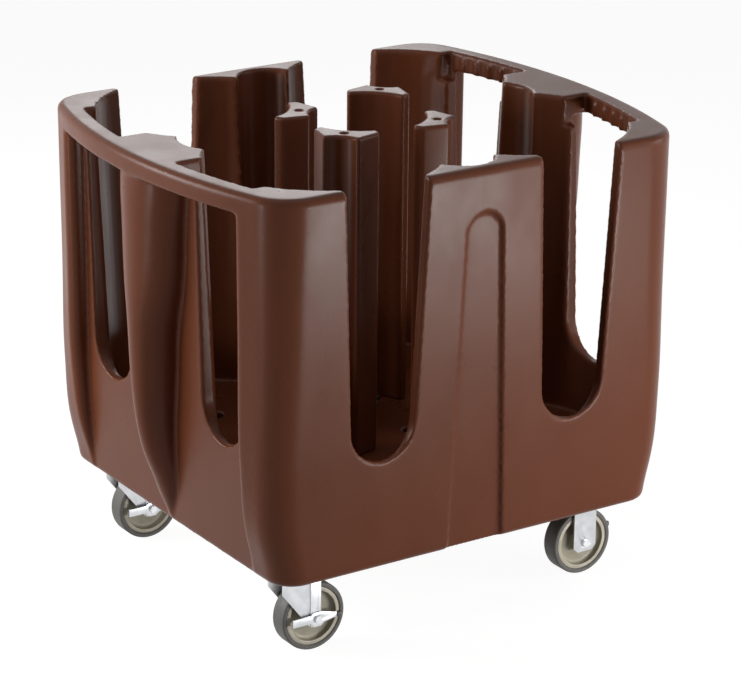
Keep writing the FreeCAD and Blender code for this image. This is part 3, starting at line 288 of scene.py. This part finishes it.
def moulded(node, voxel, turns, inset=0.0):
    """A hollow moulding's soft form: no edge is sharp. An inset draws its faces in, to clear what it slides on."""
    piece = copy_of(node, node + "_moulded")
    piece.data.transform(GRID_TURN)
    remesh = piece.modifiers.new("remesh", "REMESH")
    remesh.mode = "VOXEL"
    remesh.voxel_size = voxel
    remesh.use_smooth_shade = True
    soften = piece.modifiers.new("soften", "SMOOTH")
    soften.factor = 0.5
    soften.iterations = turns
    apply_modifiers(piece)
    piece.data.transform(GRID_TURN.inverted())
    if inset:
        offsets = [vertex.normal * -inset for vertex in piece.data.vertices]
        for vertex, offset in zip(piece.data.vertices, offsets):
            vertex.co += offset
    for face in piece.data.polygons:
        face.use_smooth = True
    return stand_for(piece, node)


def softened(node, width):
    """A hard part with its edges broken."""
    piece = copy_of(node, node + "_soft")
    shape = bmesh.new()
    shape.from_mesh(piece.data)
    bmesh.ops.dissolve_limit(shape, angle_limit=FLAT_ANGLE, verts=shape.verts, edges=shape.edges)
    shape.to_mesh(piece.data)
    shape.free()
    bevel = piece.modifiers.new("edges", "BEVEL")
    bevel.width = width
    bevel.segments = EDGE_SEGMENTS
    bevel.limit_method = "ANGLE"
    bevel.angle_limit = BEVEL_ANGLE
    bevel.harden_normals = False
    bevel.use_clamp_overlap = True
    apply_modifiers(piece)
    for face in piece.data.polygons:
        face.use_smooth = True
    piece.data.set_sharp_from_angle(angle=SHARP_ANGLE)
    return stand_for(piece, node)


def middle_of(numbers):
    return (min(numbers) + max(numbers)) / 2


def ringed(node):
    """A wheel centre whose raised rim ring is marked for painted light, its dished web for painted shade."""
    piece = softened(node, HUB_EDGE)
    places = [vertex.co for vertex in piece.data.vertices]
    middle_x, middle_z = (middle_of([place[axis] for place in places]) for axis in (0, 2))
    reaches = [math.hypot(place.x - middle_x, place.z - middle_z) for place in places]
    ring_start = RING_START * max(reaches)
    # 1 on the raised rim ring, which takes the painted light; 0 on the web, which takes the painted shade
    ring = piece.data.attributes.new("ring", "FLOAT", "POINT")
    for entry, reach in zip(ring.data, reaches):
        entry.value = 1.0 if reach > ring_start else 0.0
    return piece


def add_pedal_tip(corner):
    """A dark sleeve on the long end of a brake lever, given the tyre's dark grey."""
    lever = NODES["brake_lever_" + corner]
    places = [vertex.co for vertex in lever.data.vertices]
    end = max(place.x for place in places)
    middle_y = middle_of([place.y for place in places])
    middle_z = middle_of([place.z for place in places if place.x > end - LEVER_END])
    points, faces = [], []
    for along, width, height in TIP_STATIONS:
        for step in range(TIP_SIDES):
            turn = 2 * math.pi * step / TIP_SIDES
            across = math.copysign(abs(math.cos(turn)) ** TIP_SQUARENESS, math.cos(turn)) * width / 2
            up = math.copysign(abs(math.sin(turn)) ** TIP_SQUARENESS, math.sin(turn)) * height / 2
            points.append((end + along, middle_y + across, middle_z + up))
    last = len(TIP_STATIONS) - 1
    for ring in range(last):
        near, far = ring * TIP_SIDES, (ring + 1) * TIP_SIDES
        for step in range(TIP_SIDES):
            following = (step + 1) % TIP_SIDES
            faces.append((near + step, far + step, far + following, near + following))
    faces.append(tuple(range(TIP_SIDES)))
    faces.append(tuple(reversed(range(last * TIP_SIDES, (last + 1) * TIP_SIDES))))
    mesh = bpy.data.meshes.new("pedal_tip_" + corner)
    mesh.from_pydata(points, [], faces)
    mesh.validate()
    shape = bmesh.new()
    shape.from_mesh(mesh)
    bmesh.ops.recalc_face_normals(shape, faces=shape.faces)
    shape.to_mesh(mesh)
    shape.free()
    for face in mesh.polygons:
        face.use_smooth = len(face.vertices) == 4
    tip = bpy.data.objects.new("pedal_tip_" + corner, mesh)
    bpy.context.scene.collection.objects.link(tip)
    dress(tip, "tyre")
    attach(tip, BODY_OF["brake_lever_" + corner])


for node, thing in NODES.items():
    dress(thing, SLOTS[node])
    thing.data.set_sharp_from_angle(angle=CAD_SHARP_ANGLE)

for corner in CORNERS:
    softened("fork_" + corner, FORK_EDGE)
    softened("brake_lever_" + corner, LEVER_EDGE)
    ringed("hub_" + corner)
    add_pedal_tip(corner)
    if "left" in corner:
        softened("brake_strip_" + corner, STRIP_EDGE)
moulded("body_shell", BODY_VOXEL, BODY_SMOOTH_TURNS)
for corner in CORNERS:
    moulded("tower_" + corner, TOWER_VOXEL, TOWER_SMOOTH_TURNS, TOWER_INSET)


# ---- stage ----

def seen_directly(tree):
    """1 for camera, mirror and glass rays, 0 for the light that falls on the cart."""
    path = tree.nodes.new("ShaderNodeLightPath")
    value = path.outputs["Is Camera Ray"]
    for other in ("Is Glossy Ray", "Is Transmission Ray"):
        both = tree.nodes.new("ShaderNodeMath")
        both.operation = "MAXIMUM"
        tree.links.new(value, both.inputs[0])
        tree.links.new(path.outputs[other], both.inputs[1])
        value = both.outputs[0]
    return value


def make_world():
    """A faint even light, behind which the eye and every reflection see plain white."""
    world = bpy.data.worlds.new("studio")
    bpy.context.scene.world = world
    world.use_nodes = True
    tree = world.node_tree
    light = tree.nodes["Background"]
    light.inputs["Color"].default_value = (0.95, 0.97, 1.0, 1)
    light.inputs["Strength"].default_value = WORLD_LIGHT
    white = tree.nodes.new("ShaderNodeBackground")
    white.inputs["Color"].default_value = (1, 1, 1, 1)
    white.inputs["Strength"].default_value = 1.0
    blend = tree.nodes.new("ShaderNodeMixShader")
    tree.links.new(seen_directly(tree), blend.inputs["Fac"])
    tree.links.new(light.outputs[0], blend.inputs[1])
    tree.links.new(white.outputs[0], blend.inputs[2])
    tree.links.new(blend.outputs[0], tree.nodes["World Output"].inputs["Surface"])


def make_floor():
    """A pale floor that keeps the cart's soft shadow and otherwise melts into the white."""
    mesh = bpy.data.meshes.new("floor")
    corners = [(-FLOOR_REACH, -FLOOR_REACH, 0), (FLOOR_REACH, -FLOOR_REACH, 0), (FLOOR_REACH, FLOOR_REACH, 0),
               (-FLOOR_REACH, FLOOR_REACH, 0)]
    mesh.from_pydata(corners, [], [(0, 1, 2, 3)])
    floor = bpy.data.objects.new("floor", mesh)
    bpy.context.scene.collection.objects.link(floor)
    material = bpy.data.materials.new("pale floor")
    material.use_nodes = True
    tree = material.node_tree
    surface = tree.nodes["Principled BSDF"]
    surface.inputs["Base Color"].default_value = (FLOOR_COLOUR, FLOOR_COLOUR, FLOOR_COLOUR, 1)
    surface.inputs["Roughness"].default_value = 0.9
    surface.inputs["Specular IOR Level"].default_value = 0.0
    surface.inputs["Emission Color"].default_value = (1, 1, 1, 1)
    level = tree.nodes.new("ShaderNodeMath")
    level.operation = "MULTIPLY"
    level.inputs[1].default_value = FLOOR_GLOW
    tree.links.new(seen_directly(tree), level.inputs[0])
    tree.links.new(level.outputs[0], surface.inputs["Emission Strength"])
    mesh.materials.append(material)


def make_softbox(name, place, aim, width, height, radiance):
    """A rectangular lamp of an even brightness, whatever its size."""
    lamp = bpy.data.lights.new(name, "AREA")
    lamp.shape = "RECTANGLE"
    lamp.size = width
    lamp.size_y = height
    lamp.energy = radiance * math.pi * width * height
    thing = bpy.data.objects.new(name, lamp)
    thing.location = place
    thing.rotation_euler = (Vector(aim) - Vector(place)).to_track_quat("-Z", "Y").to_euler()
    bpy.context.scene.collection.objects.link(thing)


def make_camera():
    back = Vector((math.sin(CAMERA_YAW) * math.cos(CAMERA_PITCH), -math.cos(CAMERA_YAW) * math.cos(CAMERA_PITCH),
                   math.sin(CAMERA_PITCH)))
    right = Vector((math.cos(CAMERA_YAW), math.sin(CAMERA_YAW), 0))
    up = back.cross(right)
    rolled_right = right * math.cos(CAMERA_ROLL) + up * math.sin(CAMERA_ROLL)
    rolled_up = up * math.cos(CAMERA_ROLL) - right * math.sin(CAMERA_ROLL)
    turn = Matrix((rolled_right, rolled_up, back)).transposed()
    data = bpy.data.cameras.new("camera")
    data.sensor_width = SENSOR_WIDTH
    data.lens = FOCAL_PIXELS * SENSOR_WIDTH / IMAGE_WIDTH
    camera = bpy.data.objects.new("camera", data)
    camera.matrix_world = Matrix.Translation(CAMERA_PLACE) @ turn.to_4x4()
    bpy.context.scene.collection.objects.link(camera)
    bpy.context.scene.camera = camera


make_world()
make_floor()
make_camera()
for softbox in SOFTBOXES:
    make_softbox(*softbox)
bpy.context.scene.view_settings.view_transform = "Standard"
